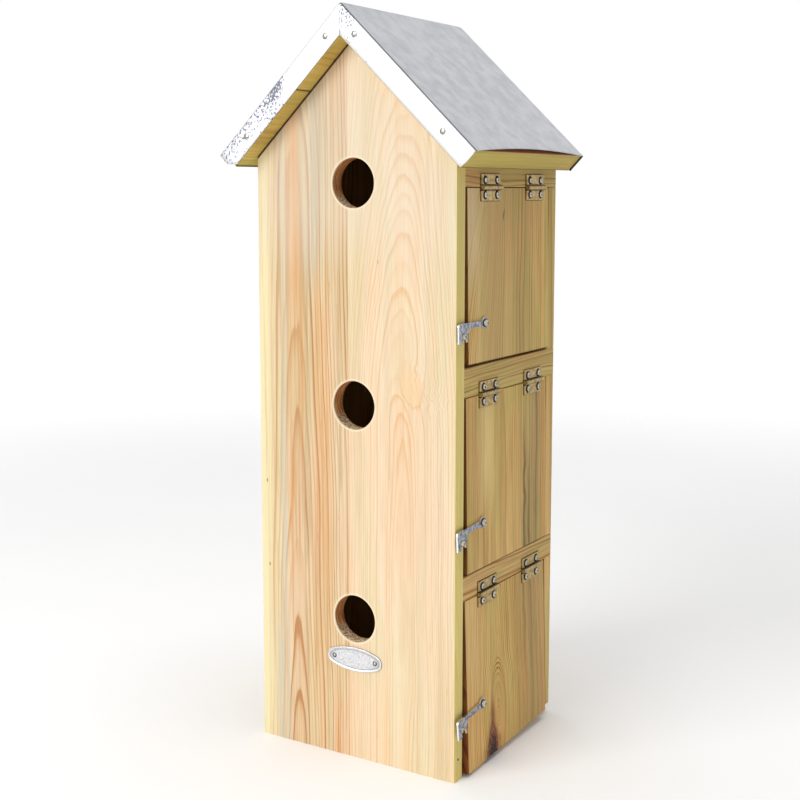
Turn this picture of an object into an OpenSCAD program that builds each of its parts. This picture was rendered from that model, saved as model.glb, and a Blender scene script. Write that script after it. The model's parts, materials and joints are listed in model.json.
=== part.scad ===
// Three-storey nest box for sparrows: a tall pine box with an entrance hole and
// a top-hung side door for each storey, under a gable roof covered in zinc.
// The front faces -Y and the doors are on the +X side.

/* [Box] */
// Width of the front board
box_w = 161; // [130:1:200]
// Depth from the front board's face to the back board's face
box_d = 148; // [115:1:190]
// Thickness of the front, back, side and floor boards
board_t = 11; // [9:0.5:15]
// Depth of the upright strips behind the doors
strip_d = 11.5; // [9:0.5:20]

/* [Storeys] */
// Height of the lowest door's hinge line
first_hinge_z = 123.8; // [120:0.5:150]
// Height from one hinge line to the next
storey_h = 139; // [115:0.5:170]
// Height of the rail over the lowest door
lower_rail_h = 17; // [14:0.5:22]
// Height of the rail over the middle door
upper_rail_h = 20; // [16:0.5:24]
// Height of the rail over the upper door, up to the eaves
top_rail_h = 21.4; // [16:0.1:40]
// Height of the door side's bottom edge at the back corner
side_lift = 7; // [0:0.5:10]
// Height that the floors stand up over the rails, as stops for the doors
floor_rise = 4.5; // [3:0.5:7]

/* [Entrances] */
// Diameter of the entrance holes
hole_d = 34; // [28:1:45]
// Distance of the lowest hole's centre under its door's hinge line
hole_below_hinge = 22.4; // [18:0.2:40]
// Height that each hole gains on its hinge line over the hole beneath
hole_gain = 12.7; // [0:0.1:15]

/* [Roof] */
// Slope of the roof in degrees
roof_pitch = 43.7; // [30:0.1:50]
// Thickness of the roof boards
roof_t = 15; // [10:0.5:20]
// Distance that the roof reaches past the box's side, measured level
eave_reach = 21.7; // [15:0.5:35]
// Distance that the roof reaches past the front board
front_reach = 15.6; // [8:0.2:30]
// Distance from the ridge to the joint between a slope's two boards
plank_joint = 63.5; // [50:0.5:90]
// Thickness of the zinc sheet
sheet_t = 0.7; // [0.5:0.1:1.5]
// Distance that the sheet reaches past the boards at the eaves
sheet_lip = 1.2; // [0:0.1:4]

/* [Name plate] */
// Width of the oval plate
plate_w = 45; // [30:1:60]
// Height of the oval plate
plate_h = 17.3; // [12:0.1:17.5]
// Radius of the oval's ends
plate_end_r = 5.5; // [3:0.1:5.8]
// Thickness of the plate
plate_t = 1; // [0.6:0.1:2]
// Distance from the lowest hole down to the plate
plate_gap = 3.55; // [2:0.05:12]

/* [Doors] */
// Clearance at the front and back of each door
door_gap = 2.2; // [1:0.1:2.5]
// Clearance over each door
top_gap = 0.6; // [0.5:0.1:2]
// Clearance under the middle door
middle_foot_gap = 1.3; // [0.8:0.1:2.5]
// Clearance under the upper door
upper_foot_gap = 2; // [0.8:0.1:2.5]
// Height of the lowest door's bottom edge at its front corner
door_foot_z = 2; // [0.5:0.5:6]
// Angle by which the two upper doors stand ajar
ajar_upper = 0.9; // [0:0.1:3]
// Angle by which the lowest door stands ajar
ajar_lowest = 1.9; // [0:0.1:3]

/* [Hinges] */
// Width of a hinge
hinge_w = 27.5; // [20:0.5:32]
// Height of one hinge leaf, from the pin
leaf_h = 8.9; // [7:0.1:12]
// Thickness of a hinge leaf
leaf_t = 0.9; // [0.6:0.1:1.2]
// Radius of a hinge knuckle
knuckle_r = 1.7; // [1.5:0.1:2.4]
// Radius of a hinge pin
pin_r = 0.75; // [0.5:0.05:1]
// Width of the middle knuckle
mid_knuckle_w = 12.1; // [9:0.1:14]
// Distance of a leaf's two screws from the hinge's middle
screw_y = 8.3; // [6.5:0.1:9.5]
// Distance of a leaf's screws from the pin
screw_z = 5; // [4:0.1:6]
// Diameter of the screw holes in a leaf
leaf_hole_d = 2.6; // [2:0.1:3.2]
// Distance from a door's front edge to its front hinge
front_inset = 18.1; // [8:0.1:24]
// Distance from a door's back edge to its rear hinge
rear_inset = 8.6; // [4:0.1:20]

/* [Latches] */
// Distance from a hook's pivot to its catch screw
hook_reach = 29.7; // [24:0.1:36]
// Distance of the upper door's catch screw under the hook's pivot
upper_drop = 6.7; // [6.5:0.1:9]
// Distance of the middle door's catch screw under the hook's pivot
middle_drop = 8.3; // [6.7:0.1:12]
// Distance of the lowest door's catch screw under the hook's pivot
lowest_drop = 9.5; // [6.7:0.1:12]
// Height of the upper hook's pivot over its door's bottom edge
upper_rise = 26.6; // [20:0.1:50]
// Height of the middle hook's pivot over its door's bottom edge
middle_rise = 32.4; // [20:0.1:50]
// Height of the lowest hook's pivot over its door's bottom edge
lowest_rise = 44.3; // [20:0.1:55]
// Thickness of a hook
hook_t = 1.2; // [0.8:0.1:1.6]
// Width of a hook's arm
arm_w = 3.8; // [3:0.1:5]
// Radius of a hook's eye
eye_r = 4; // [3.8:0.1:5]
// Distance from the catch screw to the fork's front edge
fork_front = 6.7; // [5:0.1:8]
// Distance from the catch screw to the fork's back edge
fork_back = 5.1; // [4.5:0.1:6.5]
// Distance that the fork reaches under the catch screw
fork_foot = 4.6; // [4:0.1:7]
// Distance from the front board's face to the catch screws
catch_y = 5; // [4:0.1:6]
// Distance that the catch screws' heads stand off the board
catch_stand = 2; // [1.8:0.1:3]
// Diameter of a catch screw's head
catch_head_d = 4.8; // [4:0.1:5.2]
// Diameter of a pivot screw's head
pivot_head_d = 7.2; // [6:0.1:8]

/* [Hanging] */
// Diameter of the hanging hole in the back board
hanger_d = 8; // [5:0.5:12]
// Distance of the hanging hole under the gable's point
hanger_below = 45.4; // [35:0.1:60]

/* [Hidden] */

$fn = 64;
cut = 1;

// The three doors are counted from the bottom: 0 lowest, 1 middle, 2 upper.
LOWEST = 0;
MIDDLE = 1;
UPPER = 2;

half_w = box_w / 2;
inner_x = half_w - board_t;
roof_len = front_reach + box_d + sheet_t;
// Place of the front board's face, with the origin under the roof's middle
front_y = front_reach - roof_len / 2;

// Doors and rails
fit = 0.3;
hinge_z = [for (i = [0:2]) first_hinge_z + i * storey_h];
rail_low_z = [for (z = hinge_z) z + top_gap / 2];
door_top_z = [for (z = hinge_z) z - top_gap / 2];
rail_h = [lower_rail_h, upper_rail_h, top_rail_h];
rail_top_z = rail_low_z + rail_h;
door_foot = [side_lift, rail_top_z[LOWEST] + middle_foot_gap, rail_top_z[MIDDLE] + upper_foot_gap];
front_foot = [door_foot_z, door_foot[MIDDLE], door_foot[UPPER]];
door_front_y = board_t + door_gap;
door_back_y = box_d - strip_d - door_gap;
ajar = [ajar_lowest, ajar_upper, ajar_upper];
floor_top_z = [board_t, rail_top_z[LOWEST] + floor_rise, rail_top_z[MIDDLE] + floor_rise];

// Holes and plate
hole_z = [for (i = [0:2]) hinge_z[i] - hole_below_hinge + i * hole_gain];
plate_z = hole_z[LOWEST] - hole_d / 2 - plate_gap - plate_h / 2;

// Roof
gable_z = rail_top_z[UPPER] + half_w * tan(roof_pitch);
ridge_z = gable_z + (roof_t + sheet_t) / cos(roof_pitch);
fold_h = roof_t;
eave_x = half_w + eave_reach;
// Length of the sheet's slope, from the ridge to the eave
slope_len = eave_x / cos(roof_pitch);

// Hinges: the pin runs along Y, just off the door's face
leaf_gap = 0.1;
pin_x = knuckle_r + leaf_gap;
knuckle_gap = 0.3;
pin_play = 0.05;
hinge_ys = [door_front_y + front_inset + hinge_w / 2, door_back_y - rear_inset - hinge_w / 2];

// Latches: each hook hangs on its own catch screw
catch_drop = [lowest_drop, middle_drop, upper_drop];
pivot_z = front_foot + [lowest_rise, middle_rise, upper_rise];
pivot_below_hinge = hinge_z - pivot_z;
catch_shank_d = 2.6;
catch_head_h = 2.6;
pivot_shank_d = 3;
pivot_head_h = 2.4;
screw_depth = 8;
hook_lift = 0.4;
hook_play = 0.2;
slot_play = 0.4;
slot_r = catch_head_d / 2 + slot_play;
foot_slant = 0.5;
arm_web = 3;

// ---- Placing -------------------------------------------------------------

// Y is measured back from the front board's face
module seat() {
    translate([0, front_y, 0])
        children();
}

// Turns a door and what it carries about its hinge line, out from the frame
module hung(i) {
    seat()
        translate([half_w + pin_x, 0, hinge_z[i]])
            rotate([0, -ajar[i], 0])
                children();
}

// A block given by its low and high corners
module block(low, high) {
    translate(low)
        cube(high - low);
}

// ---- Box -----------------------------------------------------------------

// Height of the roof boards' underside
function soffit_z(x) = gable_z - abs(x) * tan(roof_pitch);

// Outline of a board that fills the gable between two side walls
module gable_outline(half) {
    polygon([[-half, 0], [half, 0], [half, soffit_z(half)], [0, gable_z], [-half, soffit_z(half)]]);
}

// Outline of a side that stands up to the roof boards
module side_outline(out_x, in_x, foot_z) {
    polygon([[out_x, foot_z], [in_x, foot_z], [in_x, soffit_z(in_x)], [out_x, soffit_z(out_x)]]);
}

// Stands an X-Z outline up, from one depth to another
module upright(from_y, to_y) {
    translate([0, to_y, 0])
        rotate([90, 0, 0])
            linear_extrude(to_y - from_y)
                children();
}

module front_board() {
    color("burlywood")
        seat()
            difference() {
                upright(0, board_t)
                    difference() {
                        gable_outline(half_w);
                        for (i = [0:2])
                            translate([0, hole_z[i]])
                                circle(d = hole_d);
                    }
                for (i = [0:2])
                    catch_place(i)
                        translate([-screw_depth, 0, 0])
                            rotate([0, 90, 0])
                                cylinder(h = screw_depth + cut, d = catch_shank_d);
            }
}

module back_board() {
    color("burlywood")
        seat()
            upright(box_d - board_t, box_d)
                difference() {
                    gable_outline(inner_x);
                    translate([0, gable_z - hanger_below])
                        circle(d = hanger_d);
                }
}

module left_wall() {
    color("burlywood")
        seat()
            upright(board_t, box_d)
                side_outline(-half_w, -inner_x, 0);
}

// A floor between the walls; its edge is the stop of the door over it
module floor_board(i) {
    color("tan")
        seat()
            block([-inner_x, board_t, floor_top_z[i] - board_t],
                  [inner_x - fit, box_d - board_t, floor_top_z[i]]);
}

module bottom_floor() {
    floor_board(LOWEST);
}

module lower_floor() {
    floor_board(MIDDLE);
}

module upper_floor() {
    floor_board(UPPER);
}

// The rail over door i
module rail(i) {
    color("tan")
        seat()
            block([inner_x, board_t, rail_low_z[i]], [half_w, box_d, rail_top_z[i]]);
}

module top_rail() {
    color("tan")
        seat()
            upright(board_t, box_d)
                side_outline(half_w, inner_x, rail_low_z[UPPER]);
}

module upper_rail() {
    rail(MIDDLE);
}

module lower_rail() {
    rail(LOWEST);
}

// Upright strips that close the side behind each door
module rear_strips() {
    color("tan")
        seat()
            for (i = [0:2]) {
                foot_z = i == LOWEST ? side_lift : rail_top_z[i - 1];
                block([inner_x, box_d - strip_d, foot_z], [half_w, box_d, rail_low_z[i]]);
            }
}

// ---- Roof ----------------------------------------------------------------

// A point of the right slope: s is its distance down the slope from the ridge,
// and depth is its depth under the sheet's outer face
function slope_point(s, depth) = [
    s * cos(roof_pitch) - depth * sin(roof_pitch),
    ridge_z - s * sin(roof_pitch) - depth * cos(roof_pitch)
];

// The distance down the slope at which a given depth lies right under the ridge
function mitre(depth) = depth * tan(roof_pitch);

function mirrored(point) = [-point[0], point[1]];

// A layer over both slopes, between two depths
module chevron_outline(top, bottom, to_s) {
    polygon([
        slope_point(to_s, top),
        slope_point(mitre(top), top),
        mirrored(slope_point(to_s, top)),
        mirrored(slope_point(to_s, bottom)),
        slope_point(mitre(bottom), bottom),
        slope_point(to_s, bottom)
    ]);
}

module plank_outline(from_s, to_s) {
    under = sheet_t + roof_t;
    polygon([
        slope_point(max(from_s, mitre(sheet_t)), sheet_t),
        slope_point(to_s, sheet_t),
        slope_point(to_s, under),
        slope_point(max(from_s, mitre(under)), under)
    ]);
}

module plank(from_s, to_s) {
    color("darkkhaki")
        seat()
            upright(sheet_t - front_reach, box_d)
                plank_outline(from_s, to_s);
}

module right_ridge_plank() {
    plank(0, plank_joint);
}

module right_eave_plank() {
    plank(plank_joint, slope_len - sheet_lip);
}

module left_ridge_plank() {
    mirror([1, 0, 0])
        right_ridge_plank();
}

module left_eave_plank() {
    mirror([1, 0, 0])
        right_eave_plank();
}

// One bent sheet, with its front and rear edges folded down
module roof_sheet() {
    color("lightsteelblue")
        seat()
            union() {
                upright(-front_reach, box_d + sheet_t)
                    chevron_outline(0, sheet_t, slope_len);
                upright(-front_reach, sheet_t - front_reach)
                    chevron_outline(0, fold_h, slope_len);
                upright(box_d, box_d + sheet_t)
                    chevron_outline(0, fold_h, slope_len);
            }
}

// ---- Oval plate ----------------------------------------------------------

// An oval of four arcs that meet smoothly
module oval_plate() {
    end_x = plate_w / 2 - plate_end_r;
    half_h = plate_h / 2;
    side_r = (end_x * end_x + half_h * half_h - plate_end_r * plate_end_r) / (2 * (half_h - plate_end_r));
    meet_x = side_r * end_x / (side_r - plate_end_r);
    color("silver")
        seat()
            translate([0, 0, plate_z])
                upright(-plate_t, 0)
                    union() {
                        intersection() {
                            translate([0, half_h - side_r])
                                circle(r = side_r, $fn = 180);
                            translate([0, side_r - half_h])
                                circle(r = side_r, $fn = 180);
                            square([2 * meet_x, plate_h], center = true);
                        }
                        for (side = [-1, 1])
                            translate([side * end_x, 0])
                                circle(r = plate_end_r);
                    }
}

// ---- Hinges --------------------------------------------------------------

// A knuckle of the hinge, centred on the pin
module knuckle(from_y, to_y, bore_r) {
    translate([0, to_y, 0])
        rotate([90, 0, 0])
            difference() {
                cylinder(h = to_y - from_y, r = knuckle_r);
                translate([0, 0, -cut])
                    cylinder(h = to_y - from_y + 2 * cut, r = bore_r);
            }
}

// The upper leaf, fixed to the rail, which holds the pin in its outer knuckles
module frame_leaf() {
    half = hinge_w / 2;
    inner = mid_knuckle_w / 2 + knuckle_gap;
    difference() {
        union() {
            for (side = [-1, 1]) {
                low = side < 0 ? -half : inner;
                high = side < 0 ? -inner : half;
                knuckle(low, high, pin_r);
                block([-pin_x, low, 0], [leaf_t - pin_x, high, leaf_h]);
            }
            block([-pin_x, -half, pin_x + knuckle_gap], [leaf_t - pin_x, half, leaf_h]);
        }
        leaf_holes(screw_z);
    }
}

// The lower leaf, fixed to the door, which turns on the pin
module door_leaf() {
    half = hinge_w / 2;
    inner = mid_knuckle_w / 2;
    difference() {
        union() {
            knuckle(-inner, inner, pin_r + pin_play);
            block([-pin_x, -inner, -leaf_h], [leaf_t - pin_x, inner, 0]);
            block([-pin_x, -half, -leaf_h], [leaf_t - pin_x, half, -pin_x - knuckle_gap]);
        }
        leaf_holes(-screw_z);
    }
}

module leaf_holes(z) {
    for (side = [-1, 1])
        translate([-pin_x - cut, side * screw_y, z])
            rotate([0, 90, 0])
                cylinder(h = leaf_t + 2 * cut, d = leaf_hole_d);
}

// The frame side of the two hinges of door i
module at_frame_hinges(i) {
    for (y = hinge_ys)
        seat()
            translate([half_w + pin_x, y, hinge_z[i]])
                children();
}

// The door side of the two hinges of door i
module at_door_hinges(i) {
    for (y = hinge_ys)
        hung(i)
            translate([0, y, 0])
                children();
}

module frame_leaves(i) {
    color("goldenrod")
        at_frame_hinges(i)
            frame_leaf();
}

module door_leaves(i) {
    color("goldenrod")
        at_door_hinges(i)
            door_leaf();
}

module hinge_pins(i) {
    color("goldenrod")
        at_frame_hinges(i)
            translate([0, hinge_w / 2, 0])
                rotate([90, 0, 0])
                    cylinder(h = hinge_w, r = pin_r);
}

module upper_frame_leaves() {
    frame_leaves(UPPER);
}

module middle_frame_leaves() {
    frame_leaves(MIDDLE);
}

module lowest_frame_leaves() {
    frame_leaves(LOWEST);
}

module upper_hinge_pins() {
    hinge_pins(UPPER);
}

module middle_hinge_pins() {
    hinge_pins(MIDDLE);
}

module lowest_hinge_pins() {
    hinge_pins(LOWEST);
}

module upper_door_leaves() {
    door_leaves(UPPER);
}

module middle_door_leaves() {
    door_leaves(MIDDLE);
}

module lowest_door_leaves() {
    door_leaves(LOWEST);
}

// ---- Doors ---------------------------------------------------------------

// How far back hook i's pivot lies, so that its fork meets the catch screw
function pivot_y(i) = catch_y + sqrt(hook_reach * hook_reach - catch_drop[i] * catch_drop[i]);

// Middle of door i's pivot screw on the door's face, in the hung door's frame
module at_pivot(i) {
    hung(i)
        translate([-pin_x, pivot_y(i), -pivot_below_hinge[i]])
            children();
}

// Middle of door i's catch screw on the front board's edge
module catch_place(i) {
    translate([half_w, catch_y, hinge_z[i] - pivot_below_hinge[i] - catch_drop[i]])
        children();
}

// Outline of door i seen from the side. The lowest one's foot is cut out of square.
module door_outline(i) {
    polygon([
        [door_front_y, front_foot[i] - hinge_z[i]],
        [door_back_y, door_foot[i] - hinge_z[i]],
        [door_back_y, door_top_z[i] - hinge_z[i]],
        [door_front_y, door_top_z[i] - hinge_z[i]]
    ]);
}

module door(i) {
    color("peru")
        difference() {
            hung(i)
                translate([-pin_x - board_t, 0, 0])
                    rotate([90, 0, 90])
                        linear_extrude(board_t)
                            door_outline(i);
            at_pivot(i)
                translate([-screw_depth, 0, 0])
                    rotate([0, 90, 0])
                        cylinder(h = screw_depth + cut, d = pivot_shank_d);
        }
}

module upper_door() {
    door(UPPER);
}

module middle_door() {
    door(MIDDLE);
}

module lowest_door() {
    door(LOWEST);
}

// ---- Latches -------------------------------------------------------------

// A round-head screw along X: shank from -depth, head from stand outwards
module round_head_screw(shank_d, depth, stand, head_d, head_h) {
    // The head is the cap of a ball
    ball_r = (head_d * head_d / 4 + head_h * head_h) / (2 * head_h);
    rotate([90, 0, 90]) {
        translate([0, 0, -depth])
            cylinder(h = depth + stand, d = shank_d);
        translate([0, 0, stand])
            intersection() {
                translate([0, 0, head_h - ball_r])
                    sphere(r = ball_r);
                cylinder(h = head_h, d = head_d);
            }
    }
}

module catch_screws() {
    color("silver")
        seat()
            for (i = [0:2])
                catch_place(i)
                    round_head_screw(catch_shank_d, screw_depth, catch_stand, catch_head_d, catch_head_h);
}

module pivot_screw(i) {
    color("silver")
        at_pivot(i)
            round_head_screw(pivot_shank_d, screw_depth, hook_lift + hook_t + hook_play,
                             pivot_head_d, pivot_head_h);
}

module upper_pivot_screw() {
    pivot_screw(UPPER);
}

module middle_pivot_screw() {
    pivot_screw(MIDDLE);
}

module lowest_pivot_screw() {
    pivot_screw(LOWEST);
}

// The uppermost hook's outline as it hangs: an eye at the origin, a level arm
// that reaches to -X, and a fork. The fork's slot is an arc about the eye, so
// that the hook lifts straight off its screw.
module hook_outline() {
    catch_x = -sqrt(hook_reach * hook_reach - upper_drop * upper_drop);
    front_x = catch_x - fork_front;
    back_x = catch_x + fork_back;
    half_arm = arm_w / 2;
    difference() {
        union() {
            circle(r = eye_r);
            translate([front_x + half_arm, 0])
                circle(r = half_arm);
            polygon([
                [0, half_arm],
                [front_x + half_arm, half_arm],
                [front_x, 0],
                [front_x, -upper_drop - fork_foot],
                [back_x, -upper_drop - fork_foot + foot_slant],
                [back_x, -half_arm - arm_web],
                [back_x + arm_web, -half_arm],
                [0, -half_arm]
            ]);
        }
        circle(d = pivot_shank_d + hook_play);
        translate([catch_x, -upper_drop])
            circle(r = slot_r);
        intersection() {
            difference() {
                circle(r = hook_reach + slot_r, $fn = 180);
                circle(r = hook_reach - slot_r, $fn = 180);
            }
            translate([front_x - cut, -upper_drop - 2 * fork_foot])
                square([-front_x, 2 * fork_foot]);
        }
    }
}

// Hook i, turned about its pivot until the fork lies round its catch screw
module hook(i) {
    color("silver")
        at_pivot(i)
            translate([hook_lift, 0, 0])
                rotate([90, 0, 90])
                    linear_extrude(hook_t)
                        rotate(asin(catch_drop[i] / hook_reach) - asin(upper_drop / hook_reach))
                            hook_outline();
}

module upper_hook() {
    hook(UPPER);
}

module middle_hook() {
    hook(MIDDLE);
}

module lowest_hook() {
    hook(LOWEST);
}

// ---- Nodes ---------------------------------------------------------------

front_board();
back_board();
left_wall();
bottom_floor();
lower_floor();
upper_floor();
top_rail();
upper_rail();
lower_rail();
rear_strips();
left_ridge_plank();
left_eave_plank();
right_ridge_plank();
right_eave_plank();
roof_sheet();
oval_plate();
catch_screws();
upper_frame_leaves();
middle_frame_leaves();
lowest_frame_leaves();
upper_hinge_pins();
middle_hinge_pins();
lowest_hinge_pins();
upper_door();
middle_door();
lowest_door();
upper_door_leaves();
middle_door_leaves();
lowest_door_leaves();
upper_pivot_screw();
middle_pivot_screw();
lowest_pivot_screw();
upper_hook();
middle_hook();
lowest_hook();
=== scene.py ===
"""Looks for the sparrow terrace: eased boards, a bent zinc roof, screws and
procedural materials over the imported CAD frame. Lengths are in metres unless a
name or comment says millimetres."""
import json
import math
from dataclasses import dataclass

import bmesh
import bpy
from mathutils import Matrix, Vector, noise


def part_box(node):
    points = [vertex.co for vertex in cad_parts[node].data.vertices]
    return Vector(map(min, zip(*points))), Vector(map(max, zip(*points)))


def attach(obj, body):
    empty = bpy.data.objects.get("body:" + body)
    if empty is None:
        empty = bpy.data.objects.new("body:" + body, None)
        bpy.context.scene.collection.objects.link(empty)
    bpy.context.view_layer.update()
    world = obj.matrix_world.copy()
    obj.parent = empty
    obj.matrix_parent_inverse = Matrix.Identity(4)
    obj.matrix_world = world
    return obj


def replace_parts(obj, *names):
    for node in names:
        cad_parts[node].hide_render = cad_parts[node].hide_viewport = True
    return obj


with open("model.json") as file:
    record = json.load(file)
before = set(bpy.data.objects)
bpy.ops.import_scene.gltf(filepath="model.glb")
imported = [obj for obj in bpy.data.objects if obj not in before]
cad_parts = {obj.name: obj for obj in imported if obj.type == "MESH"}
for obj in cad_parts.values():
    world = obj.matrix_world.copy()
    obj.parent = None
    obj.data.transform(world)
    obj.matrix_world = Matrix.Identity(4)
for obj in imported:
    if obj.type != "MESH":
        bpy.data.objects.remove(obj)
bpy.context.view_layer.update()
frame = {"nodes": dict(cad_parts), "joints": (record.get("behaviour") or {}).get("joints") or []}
NODES = frame["nodes"]
JOINTS = {joint["name"]: joint for joint in frame["joints"]}
STOREYS = ("lowest", "middle", "upper")
MM = 0.001


# ---- Places taken from the frame ----

def islands(node):
    """(low, high) corners of each separate solid of a CAD node, in order of Z, then of Y."""
    bm = bmesh.new()
    bm.from_mesh(NODES[node].data)
    bmesh.ops.remove_doubles(bm, verts=bm.verts, dist=1e-6)
    left, found = set(bm.verts), []
    while left:
        stack, part = [left.pop()], []
        while stack:
            vert = stack.pop()
            part.append(vert.co.copy())
            for edge in vert.link_edges:
                other = edge.other_vert(vert)
                if other in left:
                    left.discard(other)
                    stack.append(other)
        found.append(tuple(Vector(f(co[i] for co in part) for i in range(3)) for f in (min, max)))
    bm.free()
    return sorted(found, key=lambda box: (round(box[0].z, 3), box[0].y))


FRONT_LOW, FRONT_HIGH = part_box("front_board")
HALF_W = FRONT_HIGH.x
GABLE_Z = FRONT_HIGH.z
FRONT_Y = FRONT_LOW.y
BACK_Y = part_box("back_board")[1].y
SHOULDER_Z = max(v.co.z for v in NODES["front_board"].data.vertices if v.co.x > HALF_W - 0.1 * MM)
PITCH = math.atan((GABLE_Z - SHOULDER_Z) / HALF_W)
COS, SIN, RISE = math.cos(PITCH), math.sin(PITCH), math.tan(PITCH)
ROOF_LOW, ROOF_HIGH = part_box("roof_sheet")
SLOPE_LEN = ROOF_HIGH.x / COS
HINGE_AT = {s: Vector(JOINTS[s + "_door_hinge"]["pos_m"]) for s in STOREYS}
PIVOT_AT = {s: Vector(JOINTS[s + "_hook_pivot"]["pos_m"]) for s in STOREYS}
AJAR = {s: Matrix.Rotation(math.radians(JOINTS[s + "_door_hinge"]["range_deg"][0]), 4, "Y") for s in STOREYS}

# As the CAD has them: the entrance holes, and how far down each slope two boards meet
HOLE_R = 17 * MM
HOLE_Z = (101.4 * MM, 253.1 * MM, 404.8 * MM)
PLANK_JOINT = 63.5 * MM

# Room for the nail heads inside the CAD box, and how far the left eave board ends inside the sheet
NAIL_ROOM = 0.5 * MM
EAVE_SET_BACK = 3 * MM
SHEET_FRONT, SHEET_BACK = ROOF_LOW.y + NAIL_ROOM, ROOF_HIGH.y - NAIL_ROOM


def hung(storey):
    """Takes a place on a shut door to the door as it stands ajar."""
    at = HINGE_AT[storey]
    return Matrix.Translation(at) @ AJAR[storey] @ Matrix.Translation(-at)


# ---- Node building ----

def srgb(red, green, blue):
    """A colour as given on screen, 0 to 255, as Blender's linear colour."""
    def linear(c):
        c /= 255
        return c / 12.92 if c <= 0.04045 else ((c + 0.055) / 1.055) ** 2.4
    return (linear(red), linear(green), linear(blue), 1)


def by(operation, swapped=False):
    """A method of Value that makes one math node."""
    def method(self, other):
        return self.net.math(operation, *((other, self) if swapped else (self, other)))
    return method


class Value:
    """A node's output. Sums of these and plain numbers make math nodes."""
    __add__, __radd__ = by("ADD"), by("ADD", swapped=True)
    __sub__, __rsub__ = by("SUBTRACT"), by("SUBTRACT", swapped=True)
    __mul__, __truediv__, __lt__ = by("MULTIPLY"), by("DIVIDE"), by("LESS_THAN")
    at_least, at_most = by("MAXIMUM"), by("MINIMUM")

    def __init__(self, net, socket):
        self.net, self.socket = net, socket

    def __abs__(self):
        return self.net.math("ABSOLUTE", self)

    def step(self, low, high, to_low=0.0, to_high=1.0):
        """A smooth step from to_low to to_high as this goes from low to high."""
        return self.net.made("ShaderNodeMapRange", (self, low, high, to_low, to_high),
                             interpolation_type="SMOOTHSTEP")

    def bell(self, middle, width):
        """1 at middle, falling smoothly to 0 over about two widths."""
        away = (self - middle) / width
        return self.net.math("EXPONENT", away * away * -1.0)

    def scaled(self, x, y, z, shift=(0.0, 0.0, 0.0)):
        return self.net.made("ShaderNodeVectorMath", (self, (x, y, z), shift), operation="MULTIPLY_ADD")

    def noise(self, x, y, z, detail=2.0, rough=0.5, shift=(0.0, 0.0, 0.0)):
        """Noise from 0 to 1 at this place, times x, y and z."""
        return self.net.noise("3D", "Vector", self.scaled(x, y, z, shift), detail, rough)

    def line_noise(self):
        """Noise from 0 to 1 along this number's line."""
        return self.net.noise("1D", "W", self, 1.0, 0.5)


class Net:
    """Builds shader nodes from short calls, which return Values."""

    def __init__(self, tree):
        self.tree = tree

    def add(self, kind, **settings):
        node = self.tree.nodes.new(kind)
        for name, value in settings.items():
            setattr(node, name, value)
        return node

    def feed(self, socket, value):
        if isinstance(value, Value):
            self.tree.links.new(value.socket, socket)
        else:
            socket.default_value = value

    def fill(self, sockets, values):
        for name, value in values.items():
            self.feed(sockets[name], value)

    def made(self, kind, values, **settings):
        """The first output of a new node, whose inputs that are in use take the values in turn."""
        node = self.add(kind, **settings)
        for socket, value in zip([s for s in node.inputs if s.enabled], values):
            self.feed(socket, value)
        return Value(self, next(s for s in node.outputs if s.enabled))

    def named(self, node):
        """A node's outputs by name."""
        return {socket.name: Value(self, socket) for socket in node.outputs}

    def coord(self, kind):
        """The surface point in one kind of texture coordinates."""
        return self.named(self.add("ShaderNodeTexCoord"))[kind]

    def math(self, operation, *values):
        return self.made("ShaderNodeMath", values, operation=operation)

    def length(self, x, y):
        return self.math("SQRT", x * x + y * y)

    def join(self, *values):
        return self.made("ShaderNodeCombineXYZ", values)

    def split(self, vector):
        node = self.add("ShaderNodeSeparateXYZ")
        self.feed(node.inputs[0], vector)
        return [Value(self, socket) for socket in node.outputs]

    def noise(self, dimensions, socket, at, detail, rough):
        node = self.add("ShaderNodeTexNoise", noise_dimensions=dimensions)
        self.fill(node.inputs, {socket: at, "Scale": 1.0, "Detail": detail, "Roughness": rough})
        return Value(self, node.outputs[0])

    def mix(self, factor, first, second, blend="MIX"):
        return self.made("ShaderNodeMix", (factor, first, second), data_type="RGBA", blend_type=blend)

    def bump(self, height, distance, strength):
        node = self.add("ShaderNodeBump")
        self.fill(node.inputs, {"Strength": strength, "Distance": distance, "Height": height})
        return Value(self, node.outputs[0])


def material(name):
    """A new material: (material, net, principled shader)."""
    made = bpy.data.materials.new(name)
    made.use_nodes = True
    shader = next(n for n in made.node_tree.nodes if n.type == "BSDF_PRINCIPLED")
    return made, Net(made.node_tree), shader


def place_mm(net, axes):
    """The surface point in millimetres: joined in the order of axes, and as x, y and z."""
    world = net.split(net.coord("Object").scaled(1 / MM, 1 / MM, 1 / MM))
    return net.join(*(world["XYZ".index(a)] for a in axes)), world


# ---- Pine ----

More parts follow.
